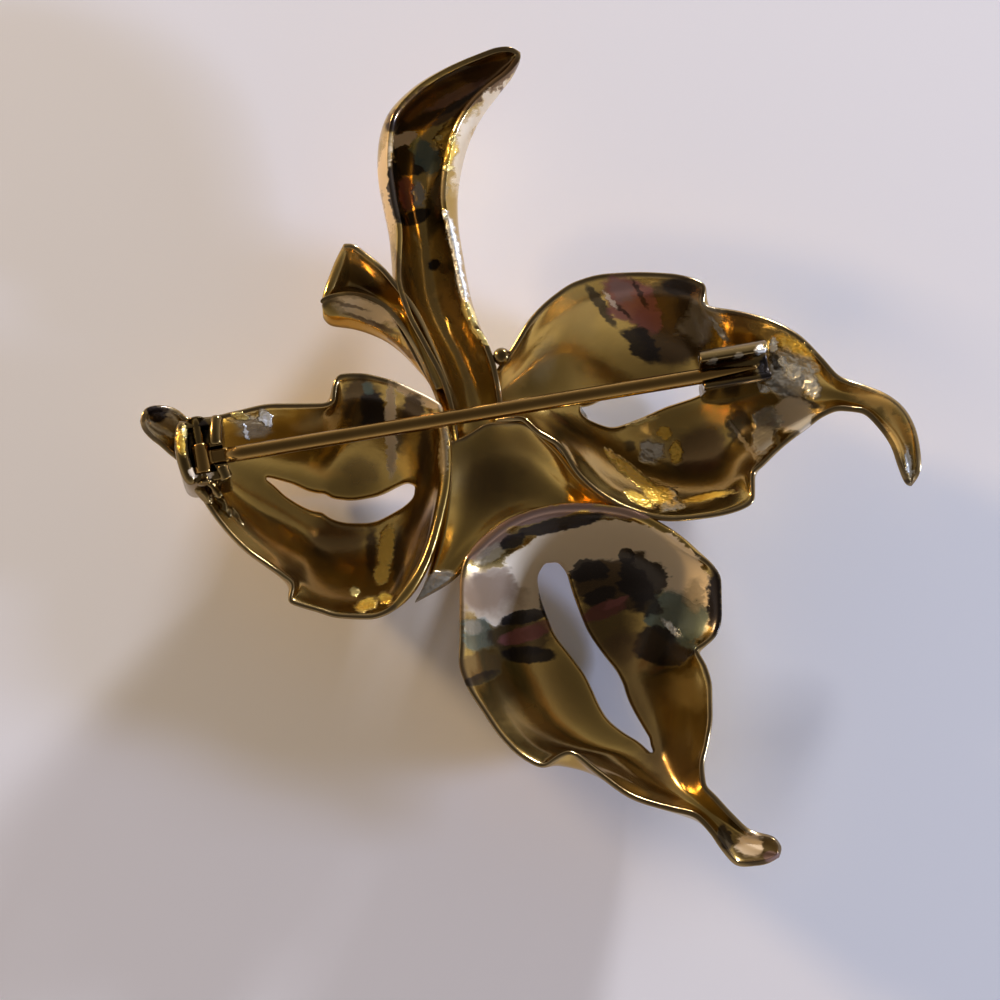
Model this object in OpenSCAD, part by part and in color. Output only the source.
// Flower brooch: a hollow pierced casting with a hinged pin and a catch, lying face down.
// The back of the jewel faces up (+Z). All sizes are in millimetres.

/* [Casting] */
// Thickness of the cast walls
wall = 0.8; // [0.6:0.05:0.9]
// Thickness of the walls at their rims
rim_wall = 0.5; // [0.4:0.05:0.6]
// How square the petals' bowls are, 2 is a plain parabola
bowl_power = 2.4; // [2:0.1:3]
// How square the curved base edge of a petal is
base_power = 2.5; // [2:0.1:3]

/* [Pin] */
// Diameter of the pin's wire
pin_d = 1.0; // [0.8:0.05:1.1]
// Length of the straight wire from the rivet to the start of the point
pin_straight = 32.0; // [31:0.1:32.4]
// Length of the point, which ends inside the catch
point_len = 3.8; // [3:0.1:4.1]
// Length of the flattened root between the knuckle and the round wire
root_len = 1.7; // [1.6:0.1:2.4]
// Height of the pin's axis above the surface that the brooch lies on
pin_z = 8.2; // [8.1:0.05:8.6]
// Direction of the pin, turned from the brooch's width
pin_turn = 9.8; // [9:0.1:10.5]

/* [Hinge] */
// Diameter of the cross rivet
rivet_d = 0.7; // [0.6:0.05:0.75]
// Outer diameter of the rolled knuckle on the rivet
knuckle_d = 1.2; // [1.1:0.05:1.25]
// Length of the knuckle along the rivet
knuckle_len = 1.9; // [1.6:0.1:2]
// Width of the hinge lug along the pin
lug_w = 3.0; // [2.8:0.1:3.2]
// Length of the hinge lug across the pin
lug_len = 4.1; // [4:0.1:4.4]
// Width of the pocket that the knuckle turns in
pocket_w = 1.4; // [1.35:0.05:1.5]
// Height of the lug above the rivet's axis
lug_rise = 0.85; // [0.7:0.05:0.9]

/* [Catch] */
// Outer diameter of the catch tube
catch_d = 2.6; // [2.4:0.1:2.8]
// Wall of the catch tube
catch_wall = 0.4; // [0.35:0.05:0.45]
// Length of the catch tube
catch_len = 4.4; // [4:0.1:4.6]
// Width of the lengthwise mouth that the pin lifts out of
catch_mouth = 1.25; // [1.2:0.05:1.3]
// How far the tube's middle lies to the far side of the pin
catch_side = 0.35; // [0:0.05:0.35]

/* [Stone] */
// Diameter of the clear stone at the front
stone_d = 7.0; // [6.5:0.1:7.2]
// Diameter of the wire claws that hold it
claw_d = 0.8; // [0.7:0.05:0.9]

/* [Smoothness] */
// Distance between sections along a petal
section_step = 1.1; // [1:0.1:1.6]
// Columns in each half of a section
columns = 6; // [5:1:7]

/* [Hidden] */

gold = [0.72, 0.56, 0.24];
wire_gold = [0.66, 0.50, 0.25];
clear_grey = [0.86, 0.88, 0.9];

// The brooch is drawn where the photo's axes put it and then set on its bottom centre
origin_shift = [-0.10, -0.355, 0.05];

// Columns of a section table. Rows run from the flower's centre outwards, and left and
// right are as seen on the back while walking outwards.
LX = 0;    // left rim, X
LY = 1;    // left rim, Y
LZ = 2;    // left rim, height
RX = 3;    // right rim, X
RY = 4;    // right rim, Y
RZ = 5;    // right rim, height
DIP = 6;   // depth of the hollow below the rims
BX = 7;    // sideways swell of the section's middle, X
BY = 8;    // sideways swell of the section's middle, Y
SA = 9;    // left edge of the slot, as a share of the section
SB = 10;   // right edge of the slot, as a share of the section
CURL = 11; // angle that a curled section sweeps to each side, 0 for a bowl

left_petal = [
    [ -8.6, -10.0, 6.4,  -5.7, 3.3, 6.6, 0.0, 1.5, -0.6, 0.640, 0.660, 0],
    [ -9.2, -10.4, 6.4,  -6.2, 3.6, 6.6, 2.6, 1.4, -0.5, 0.640, 0.660, 0],
    [-10.2, -10.7, 6.4,  -7.2, 4.1, 6.6, 4.7, 1.1, -0.3, 0.600, 0.680, 0],
    [-12.2, -10.6, 6.4,  -9.3, 5.0, 6.6, 5.9, 0.4, -0.1, 0.490, 0.595, 0],
    [-13.5, -10.2, 6.4, -10.9, 5.3, 6.7, 6.2, 0.1,  0.0, 0.475, 0.565, 0],
    [-14.6,  -9.9, 6.4, -12.2, 5.2, 6.8, 6.2, 0.0,  0.0, 0.490, 0.570, 0],
    [-15.3,  -9.6, 6.4, -12.5, 4.5, 6.8, 6.1, 0.0,  0.0, 0.510, 0.590, 0],
    [-15.0,  -8.5, 6.4, -12.5, 3.6, 6.6, 5.9, 0.0,  0.0, 0.510, 0.595, 0],
    [-15.6,  -8.0, 6.4, -13.1, 3.3, 6.5, 5.7, 0.0,  0.0, 0.515, 0.600, 0],
    [-16.9,  -7.1, 6.4, -14.8, 3.3, 6.5, 5.2, 0.0,  0.0, 0.540, 0.620, 0],
    [-18.0,  -6.3, 6.4, -16.3, 3.3, 6.5, 4.7, 0.0,  0.0, 0.600, 0.620, 0],
    [-19.8,  -4.3, 6.3, -18.7, 2.8, 6.5, 3.6, 0.0,  0.0, 0.580, 0.600, 0],
    [-21.2,  -2.1, 6.2, -20.5, 2.4, 6.4, 2.4, 0.0,  0.0, 0.550, 0.570, 0],
    [-22.2,  -0.4, 6.2, -21.8, 2.3, 6.4, 1.6, 0.0,  0.0, 0.490, 0.510, 0],
    [-22.9,   0.1, 6.5, -22.7, 2.9, 6.7, 1.3, 0.0,  0.0, 0.480, 0.520, 0],
    [-23.5,   0.6, 6.8, -23.4, 3.0, 7.0, 1.2, 0.0,  0.0, 0.480, 0.520, 0],
    [-24.1,   1.0, 7.1, -24.1, 2.9, 7.2, 1.1, 0.0,  0.0, 0.480, 0.520, 0],
    [-24.5,   1.4, 7.3, -24.5, 2.7, 7.3, 0.8, 0.0,  0.0, 0.480, 0.520, 0],
    [-24.7,   1.8, 7.4, -24.7, 2.2, 7.4, 0.2, 0.0,  0.0, 0.450, 0.550, 0]
];
left_slot = [2, 10];

right_petal = [
    [-2.1,  5.7, 5.6, -2.3,  2.4, 5.4, 1.3, 0, 0, 0.58, 0.600, 0],
    [-1.0,  7.2, 6.3, -0.7,  2.4, 6.3, 2.0, 0, 0, 0.58, 0.600, 0],
    [ 0.1,  9.0, 6.6,  0.5,  1.4, 6.5, 2.4, 0, 0, 0.58, 0.600, 0],
    [ 1.6, 10.5, 6.7,  1.9,  0.5, 6.5, 2.9, 0, 0, 0.57, 0.600, 0],
    [ 3.0, 11.4, 6.8,  3.1, -1.4, 6.4, 3.6, 0, 0, 0.57, 0.620, 0],
    [ 4.9, 11.9, 6.8,  4.8, -2.9, 6.4, 4.7, 0, 0, 0.48, 0.605, 0],
    [ 7.1, 12.0, 6.8,  6.6, -3.8, 6.4, 5.8, 0, 0, 0.41, 0.525, 0],
    [ 9.1, 11.9, 6.8,  8.8, -4.3, 6.3, 6.1, 0, 0, 0.36, 0.445, 0],
    [10.7, 11.5, 6.8, 11.1, -4.1, 6.2, 5.6, 0, 0, 0.33, 0.400, 0],
    [11.2, 11.1, 6.8, 13.1, -3.7, 6.2, 5.1, 0, 0, 0.33, 0.375, 0],
    [11.0, 10.2, 6.6, 14.3, -2.9, 6.1, 4.6, 0, 0, 0.34, 0.360, 0],
    [11.4,  9.8, 6.5, 14.2, -1.3, 6.0, 4.2, 0, 0, 0.36, 0.380, 0],
    [13.2,  9.5, 6.5, 14.9, -0.5, 6.0, 3.7, 0, 0, 0.42, 0.440, 0],
    [15.1,  9.0, 6.5, 16.2,  0.8, 5.9, 3.1, 0, 0, 0.47, 0.490, 0],
    [17.1,  8.0, 6.4, 17.6,  1.9, 5.9, 2.3, 0, 0, 0.49, 0.510, 0],
    [18.6,  6.5, 6.2, 18.8,  2.8, 5.9, 1.5, 0, 0, 0.49, 0.510, 0],
    [19.8,  5.2, 6.0, 19.9,  3.2, 5.8, 0.9, 0, 0, 0.48, 0.520, 0],
    [21.3,  4.7, 5.8, 21.3,  3.1, 5.6, 0.8, 0, 0, 0.48, 0.520, 0],
    [22.8,  4.2, 5.5, 22.4,  2.2, 5.3, 0.8, 0, 0, 0.48, 0.520, 0],
    [24.1,  3.2, 5.1, 23.3,  0.9, 5.0, 0.7, 0, 0, 0.48, 0.520, 0],
    [24.8,  1.6, 4.7, 23.7, -0.2, 4.6, 0.6, 0, 0, 0.48, 0.520, 0],
    [25.0, -0.2, 4.3, 24.1, -1.1, 4.2, 0.4, 0, 0, 0.48, 0.520, 0],
    [24.6, -1.3, 4.0, 24.4, -1.5, 4.0, 0.1, 0, 0, 0.45, 0.550, 0]
];
right_slot = [4, 10];

bottom_petal = [
    [10.4,  -6.7, 6.5, -4.0,  -6.8, 6.9, 0.0, 0, 3.4, 0.630, 0.650, 0],
    [11.4,  -7.2, 6.5, -4.3,  -7.5, 6.8, 2.7, 0, 3.2, 0.630, 0.650, 0],
    [12.0,  -7.9, 6.5, -4.4,  -8.4, 6.8, 4.3, 0, 2.8, 0.600, 0.690, 0],
    [12.1,  -8.2, 6.5, -4.4,  -8.8, 6.8, 4.7, 0, 2.7, 0.600, 0.700, 0],
    [12.1,  -8.7, 6.5, -4.4,  -9.4, 6.7, 5.3, 0, 2.4, 0.590, 0.705, 0],
    [12.1, -10.6, 6.5, -4.4, -11.9, 6.6, 6.0, 0, 1.3, 0.510, 0.640, 0],
    [11.8, -11.7, 6.5, -4.5, -13.5, 6.6, 6.1, 0, 0.5, 0.440, 0.560, 0],
    [11.0, -12.4, 6.5, -4.0, -15.1, 6.6, 6.1, 0, 0.0, 0.375, 0.500, 0],
    [10.5, -12.7, 6.4, -3.1, -16.5, 6.6, 6.0, 0, 0.0, 0.350, 0.480, 0],
    [11.1, -13.8, 6.3, -1.9, -18.3, 6.6, 5.8, 0, 0.0, 0.350, 0.475, 0],
    [11.4, -15.1, 6.3, -0.5, -19.7, 6.6, 5.5, 0, 0.0, 0.350, 0.445, 0],
    [11.4, -16.4, 6.3,  0.8, -20.3, 6.6, 5.2, 0, 0.0, 0.350, 0.410, 0],
    [11.4, -17.0, 6.3,  1.6, -19.6, 6.4, 5.0, 0, 0.0, 0.370, 0.400, 0],
    [11.3, -17.8, 6.3,  2.4, -19.2, 6.3, 4.8, 0, 0.0, 0.380, 0.395, 0],
    [11.1, -18.8, 6.2,  4.1, -20.5, 6.2, 4.0, 0, 0.0, 0.440, 0.460, 0],
    [10.8, -20.1, 6.1,  6.5, -22.2, 6.2, 2.8, 0, 0.0, 0.480, 0.510, 0],
    [10.9, -21.3, 6.0,  8.9, -22.9, 6.1, 1.7, 0, 0.0, 0.480, 0.520, 0],
    [11.6, -22.1, 5.9, 10.2, -23.2, 6.0, 1.2, 0, 0.0, 0.480, 0.520, 0],
    [12.7, -23.3, 5.8, 11.3, -24.2, 5.8, 0.9, 0, 0.0, 0.480, 0.520, 0],
    [13.9, -24.3, 5.7, 12.1, -25.4, 5.8, 0.7, 0, 0.0, 0.480, 0.520, 0],
    [15.2, -24.6, 5.8, 13.1, -26.4, 5.9, 0.5, 0, 0.0, 0.480, 0.520, 0],
    [15.8, -25.5, 6.0, 15.3, -26.2, 6.0, 0.1, 0, 0.0, 0.450, 0.550, 0]
];
bottom_slot = [3, 13];

stem = [
    [-4.8,  0.7, 4.9, -1.5,  1.6, 5.2, 0.9, 0, 0, 0.49, 0.51,  70],
    [-5.0,  2.9, 5.6, -1.9,  3.9, 5.6, 1.6, 0, 0, 0.49, 0.51,  80],
    [-5.5,  4.9, 6.1, -2.3,  5.8, 6.3, 2.3, 0, 0, 0.49, 0.51,  90],
    [-6.7,  7.3, 6.3, -2.9,  7.5, 6.4, 2.9, 0, 0, 0.49, 0.51, 100],
    [-7.9,  9.6, 6.3, -3.8,  9.3, 6.4, 3.3, 0, 0, 0.49, 0.51, 108],
    [-8.6, 12.1, 6.3, -4.4, 11.9, 6.4, 3.6, 0, 0, 0.49, 0.51, 114],
    [-8.6, 14.6, 6.5, -4.8, 14.3, 6.5, 3.8, 0, 0, 0.49, 0.51, 122],
    [-9.2, 17.1, 6.7, -5.2, 16.9, 6.7, 4.0, 0, 0, 0.49, 0.51, 130],
    [-9.6, 19.5, 7.0, -4.9, 19.2, 6.9, 4.1, 0, 0, 0.49, 0.51, 132],
    [-9.5, 22.1, 7.2, -4.3, 21.4, 7.1, 4.0, 0, 0, 0.49, 0.51, 132],
    [-7.9, 24.1, 7.4, -3.4, 23.2, 7.2, 3.6, 0, 0, 0.49, 0.51, 130],
    [-5.6, 25.5, 7.5, -2.3, 24.5, 7.2, 2.9, 0, 0, 0.49, 0.51, 125],
    [-3.4, 26.4, 7.5, -1.4, 25.4, 7.2, 2.1, 0, 0, 0.48, 0.52, 115],
    [-1.7, 26.9, 7.5, -0.9, 26.1, 7.3, 1.2, 0, 0, 0.48, 0.52, 100],
    [-0.8, 26.9, 7.4, -0.6, 26.5, 7.4, 0.3, 0, 0, 0.45, 0.55,  90]
];

side_shoot = [
    [ -6.1,  4.4, 5.8,  -5.0,  4.6, 5.9, 0.2, 0, 0, 0.47, 0.53, 0],
    [ -7.4,  7.2, 5.9,  -6.2,  7.4, 6.1, 0.3, 0, 0, 0.47, 0.53, 0],
    [ -8.6,  9.2, 5.9,  -7.4,  9.8, 6.1, 0.6, 0, 0, 0.47, 0.53, 0],
    [ -9.4, 10.1, 5.7,  -8.6, 11.3, 6.3, 1.6, 0, 0, 0.47, 0.53, 0],
    [-10.4, 10.7, 5.6,  -9.5, 12.4, 6.4, 2.4, 0, 0, 0.48, 0.52, 0],
    [-11.6, 10.9, 5.6, -10.6, 13.3, 6.5, 2.6, 0, 0, 0.48, 0.52, 0],
    [-12.9, 10.7, 5.5, -11.5, 13.9, 6.6, 2.2, 0, 0, 0.48, 0.52, 0],
    [-13.5, 10.3, 5.5, -12.0, 13.9, 6.6, 0.5, 0, 0, 0.48, 0.52, 0]
];

shoot_lip = [
    [ -4.7, 1.2, 4.5,  -5.3,  1.35, 5.05, -0.1, 0, 0, 0.45, 0.55, 0],
    [ -5.15, 3.75, 4.55,  -6.0,  4.1, 5.45, -0.1, 0, 0, 0.45, 0.55, 0],
    [ -7.1, 6.3, 4.2,  -7.4,  7.0, 5.7, -0.2, 0, 0, 0.47, 0.53, 0],
    [ -8.3, 7.6, 4.0,  -8.6,  9.0, 5.6, -0.3, 0, 0, 0.47, 0.53, 0],
    [ -9.4, 8.4, 3.9,  -9.5, 10.0, 5.5, -0.4, 0, 0, 0.47, 0.53, 0],
    [-11.4, 9.1, 4.0, -11.6, 10.8, 5.4, -0.4, 0, 0, 0.47, 0.53, 0],
    [-12.9, 9.3, 4.2, -13.0, 10.5, 5.3, -0.3, 0, 0, 0.47, 0.53, 0],
    [-13.3, 9.8, 4.7, -13.4, 10.2, 5.2, -0.1, 0, 0, 0.45, 0.55, 0]
];

centre = [
    [-5.6,  0.9, 5.3, -7.4, -9.5, 5.3, 0.5, 0.8, 0, 0.49, 0.51, 0],
    [-4.1,  1.6, 5.2, -5.0, -7.9, 4.9, 1.1, 0.3, 0, 0.49, 0.51, 0],
    [-2.45,  2.42, 5.35, -3.1, -5.8, 4.9, 1.4, 0.0, 0, 0.49, 0.51, 0],
    [-0.65,  2.32, 5.95, -1.1, -4.3, 4.9, 1.5, 0.0, 0, 0.49, 0.51, 0],
    [ 1.4,  0.72, 6.05,  1.0, -3.7, 4.9, 1.3, 0.0, 0, 0.49, 0.51, 0],
    [ 3.2, -1.6, 6.1,  3.2, -3.7, 4.9, 0.9, 0.0, 0, 0.48, 0.52, 0],
    [ 5.2, -3.1, 6.1,  5.3, -4.1, 5.0, 0.5, 0.0, 0, 0.45, 0.55, 0],
    [ 6.9, -3.8, 6.0,  6.8, -4.5, 5.3, 0.2, 0.0, 0, 0.45, 0.55, 0]
];
no_slot = [0, 0];

rivet_at = [-20.8, -0.8, pin_z];
lug_back = 2.6;                  // end of the lug on the far side of the pin
lug_drop = 3.6;                  // depth of the lug below the rivet's axis
lug_arch_r = 5;                  // radius of the lug's arched top
lug_end_wall = 0.5;
pocket_drop = 0.8;
channel_gap = 0.1;
head_over = 0.4;                 // how much wider a rivet head is than the rivet
head_h = 0.2;
point_tip_d = 0.2;
knuckle_gap = 0.03;
piece_gap = 0.02;
root_w = 1.0;
root_h = 0.8;
catch_start = pin_straight + 0.2;
lip_top = 0.35;                  // height of the catch's near lip above the pin's axis
stone_at = [0.5, 2.6, 1.08];
// Each claw: its direction and the height where it leaves the casting
claw_table = [[45, 2.8], [135, 4.3], [225, 3.6], [315, 4.3]];
stone_table = 0.58;              // width of the stone's table as a share of its diameter
culet_d = 0.5;
stone_crown_h = 1.1;
stone_girdle_h = 0.25;
stone_pavilion_h = 1.6;
claw_hook = [0.7, 0.65];         // how far a claw's end turns in and down over the stone
bead_at = [-1.9, 6.6, 6.0];
bead_d = 1.1;
foot_top = [3.4, 1.2, 0.6];      // block where the catch's foot meets the tube
foot_base = [4.0, 1.8, 0.5];     // block where the foot meets the petal
foot_z = 2.4;                    // height of the foot's base above the surface the brooch lies on

// Distance from one row of a section table to the next, the mean travel of its two rims
function row_gap(a, b) = max(0.05, (norm([for (k = [LX:LZ]) b[k] - a[k]])
    + norm([for (k = [RX:RZ]) b[k] - a[k]])) / 2);

function along(rows) = [for (i = 0, s = 0; i < len(rows);
    s = s + (i + 1 < len(rows) ? row_gap(rows[i], rows[i + 1]) : 0), i = i + 1) s];

// Slope of one column at a row: it never overshoots, so notches stay crisp
function slope(rows, at, i, c) =
    i == 0 ? (rows[1][c] - rows[0][c]) / (at[1] - at[0])
    : i == len(rows) - 1 ? (rows[i][c] - rows[i - 1][c]) / (at[i] - at[i - 1])
    : let (h0 = at[i] - at[i - 1], h1 = at[i + 1] - at[i],
           d0 = (rows[i][c] - rows[i - 1][c]) / h0, d1 = (rows[i + 1][c] - rows[i][c]) / h1)
      d0 * d1 <= 0 ? 0 : 3 * (h0 + h1) / ((2 * h1 + h0) / d0 + (h1 + 2 * h0) / d1);

function cubic(a, b, ma, mb, h, t) = (2 * t^3 - 3 * t^2 + 1) * a + (t^3 - 2 * t^2 + t) * h * ma
    + (3 * t^2 - 2 * t^3) * b + (t^3 - t^2) * h * mb;

// All sections of a piece, each with a last value that says whether the slot is open after it
function sections(rows, slot, step) =
    let (at = along(rows), last = len(rows) - 1,
         m = [for (i = [0:last]) [for (c = [LX:CURL]) slope(rows, at, i, c)]])
    concat(
        [for (i = [0:last - 1]) let (h = at[i + 1] - at[i], n = max(1, round(h / step)))
            for (k = [0:n - 1]) concat(
                [for (c = [LX:CURL]) cubic(rows[i][c], rows[i + 1][c], m[i][c], m[i + 1][c], h, k / n)],
                [i >= slot[0] && i < slot[1] ? 1 : 0])],
        [concat(rows[last], [0])]);

// Point of a section at the share t of the way from its left rim to its right rim
function on_section(s, t) =
    let (curl = s[CURL],
         turn = (2 * t - 1) * curl,
         u = curl > 0 ? 0.5 + 0.5 * sin(turn) : t,
         hollow = curl > 0 ? (cos(turn) - cos(curl)) / (1 - cos(curl)) : 1 - pow(abs(2 * t - 1), bowl_power),
         swell = 1 - pow(abs(2 * u - 1), base_power))
    [s[LX] + (s[RX] - s[LX]) * u + s[BX] * swell,
     s[LY] + (s[RY] - s[LY]) * u + s[BY] * swell,
     s[LZ] + (s[RZ] - s[LZ]) * u - s[DIP] * hollow];

// Shares of a section's columns, closer together towards the rims
function shares(s, n) = concat(
    [for (j = [0:n]) s[SA] * (1 - cos(90 * j / n))],
    [for (j = [0:n]) 1 - (1 - s[SB]) * (1 - cos(90 * (n - j) / n))]);

function unit(v) = v / max(norm(v), 0.000001);

// A cast wall of even thickness that follows a table of sections, with its slot cut through
module cast_shell(rows, slot = no_slot, step = section_step, cols = columns) {
    s = sections(rows, slot, step);
    ni = len(s);
    nj = 2 * (cols + 1);
    mid = [for (i = [0:ni - 1]) [for (t = shares(s[i], cols)) on_section(s[i], t)]];
    normal = [for (i = [0:ni - 1]) [for (j = [0:nj - 1])
        unit(cross(mid[i][min(j + 1, nj - 1)] - mid[i][max(j - 1, 0)],
                   mid[min(i + 1, ni - 1)][j] - mid[max(i - 1, 0)][j]))]];
    half = [for (j = [0:nj - 1]) (rim_wall + (wall - rim_wall) * min(1, min(j, nj - 1 - j) / 2)) / 2];
    inner = [for (i = [0:ni - 1]) for (j = [0:nj - 1]) mid[i][j] + normal[i][j] * half[j]];
    outer = [for (i = [0:ni - 1]) for (j = [0:nj - 1]) mid[i][j] - normal[i][j] * half[j]];
    up = ni * nj;
    function solid(i, j) = i >= 0 && i < ni - 1 && j >= 0 && j < nj - 1 && !(j == cols && s[i][CURL + 1] == 1);
    cells = [for (i = [0:ni - 2]) for (j = [0:nj - 2]) if (solid(i, j)) [i, j]];
    faces = concat(
        [for (c = cells) let (a = c[0] * nj + c[1]) each [[a, a + nj, a + nj + 1], [a, a + nj + 1, a + 1]]],
        [for (c = cells) let (a = up + c[0] * nj + c[1]) each [[a, a + nj + 1, a + nj], [a, a + 1, a + nj + 1]]],
        [for (c = cells) let (a = c[0] * nj + c[1]) each concat(
            solid(c[0] - 1, c[1]) ? [] : [[a, a + 1, up + a + 1], [a, up + a + 1, up + a]],
            solid(c[0] + 1, c[1]) ? [] : [[a + nj, up + a + nj, up + a + nj + 1],
                                          [a + nj, up + a + nj + 1, a + nj + 1]],
            solid(c[0], c[1] - 1) ? [] : [[a, up + a, up + a + nj], [a, up + a + nj, a + nj]],
            solid(c[0], c[1] + 1) ? [] : [[a + 1, a + nj + 1, up + a + nj + 1],
                                          [a + 1, up + a + nj + 1, up + a + 1]])]);
    polyhedron(points = concat(inner, outer), faces = faces, convexity = 10);
}

// Frame of the pin: X along the wire from the rivet to the point, Y along the rivet
module on_pin() {
    translate(rivet_at) rotate([0, 0, pin_turn]) children();
}

module rod(a, b, d) {
    hull() {
        translate(a) sphere(d = d, $fn = 12);
        translate(b) sphere(d = d, $fn = 12);
    }
}

module hinge_lug() {
    on_pin() difference() {
        intersection() {
            translate([-lug_w / 2, lug_back - lug_len, -lug_drop]) cube([lug_w, lug_len, lug_drop + lug_rise]);
            translate([-lug_w, lug_back - lug_len / 2, lug_rise - lug_arch_r])
                rotate([0, 90, 0]) cylinder(h = 2 * lug_w, r = lug_arch_r, $fn = 72);
        }
        translate([-pocket_w / 2, lug_back - lug_len + lug_end_wall, -pocket_drop])
            cube([pocket_w, lug_len - 2 * lug_end_wall, lug_drop]);
        translate([0, -pin_d / 2 - channel_gap, -pin_d / 2 - channel_gap])
            cube([lug_w, pin_d + 2 * channel_gap, lug_drop]);
        translate([0, lug_back - lug_len - 1, 0]) rotate([-90, 0, 0])
            cylinder(h = lug_len + 2, d = rivet_d + 2 * piece_gap, $fn = 24);
    }
}

module catch_tube() {
    on_pin() {
        difference() {
            translate([catch_start, catch_side, 0]) rotate([0, 90, 0])
                cylinder(h = catch_len, d = catch_d, $fn = 36);
            translate([catch_start - 1, catch_side, 0]) rotate([0, 90, 0])
                cylinder(h = catch_len + 2, d = catch_d - 2 * catch_wall, $fn = 36);
            translate([catch_start - 1, -catch_mouth / 2, 0]) cube([catch_len + 2, catch_mouth, catch_d]);
            translate([catch_start - 1, -catch_d, lip_top]) cube([catch_len + 2, catch_d, catch_d]);
        }
        translate([catch_start, catch_side, 0]) hull() {
            translate([(catch_len - foot_top[0]) / 2, -foot_top[1] / 2, -catch_d / 2 - catch_wall]) cube(foot_top);
            translate([(catch_len - foot_base[0]) / 2, -foot_base[1] / 2, foot_z - pin_z]) cube(foot_base);
        }
    }
}

module claws() {
    radius = (stone_d + claw_d) / 2 + piece_gap;
    girdle_z = stone_at[2] - 0.1;
    for (c = claw_table) translate([stone_at[0], stone_at[1], 0]) rotate([0, 0, c[0]]) {
        rod([radius, 0, c[1]], [radius, 0, girdle_z], claw_d);
        rod([radius, 0, girdle_z], [radius - claw_hook[0], 0, girdle_z - claw_hook[1]], claw_d - 0.2);
    }
}

module flower_casting() {
    color(gold) translate(origin_shift) union() {
        cast_shell(left_petal, left_slot);
        cast_shell(right_petal, right_slot);
        cast_shell(bottom_petal, bottom_slot);
        cast_shell(stem);
        cast_shell(side_shoot);
        cast_shell(shoot_lip);
        cast_shell(centre);
        rod(bead_at, bead_at + [0.3, 0, -0.6], bead_d);
        hinge_lug();
        catch_tube();
        claws();
    }
}

module hinge_rivet() {
    head_d = rivet_d + head_over;
    near = lug_back - lug_len - piece_gap;
    far = lug_back + piece_gap;
    color(gold) translate(origin_shift) on_pin() {
        translate([0, near, 0]) rotate([-90, 0, 0]) cylinder(h = far - near, d = rivet_d, $fn = 48);
        translate([0, near - head_h, 0]) rotate([-90, 0, 0])
            cylinder(h = head_h, d1 = rivet_d, d2 = head_d, $fn = 48);
        translate([0, far, 0]) rotate([-90, 0, 0]) cylinder(h = head_h, d1 = head_d, d2 = rivet_d, $fn = 48);
    }
}

module pin_stem() {
    color(wire_gold) translate(origin_shift) on_pin() {
        difference() {
            union() {
                translate([0, -knuckle_len / 2, 0]) rotate([-90, 0, 0])
                    cylinder(h = knuckle_len, d = knuckle_d, $fn = 48);
                translate([0, -root_w / 2, -root_h / 2]) cube([root_len, root_w, root_h]);
            }
            translate([0, -knuckle_len, 0]) rotate([-90, 0, 0])
                cylinder(h = 2 * knuckle_len, d = rivet_d + 2 * knuckle_gap, $fn = 48);
        }
        translate([root_len, 0, 0]) rotate([0, 90, 0])
            cylinder(h = pin_straight - root_len, d = pin_d, $fn = 48);
        translate([pin_straight, 0, 0]) rotate([0, 90, 0])
            cylinder(h = point_len, d1 = pin_d, d2 = point_tip_d, $fn = 48);
    }
}

module centre_stone() {
    color(clear_grey) translate(origin_shift + stone_at) hull() {
        translate([0, 0, -stone_crown_h]) rotate([0, 0, 22.5])
            cylinder(h = 0.1, d = stone_table * stone_d, $fn = 8);
        cylinder(h = stone_girdle_h, d = stone_d, $fn = 16);
        translate([0, 0, stone_pavilion_h]) cylinder(h = 0.1, d = culet_d, $fn = 8);
    }
}

flower_casting();
hinge_rivet();
pin_stem();
centre_stone();
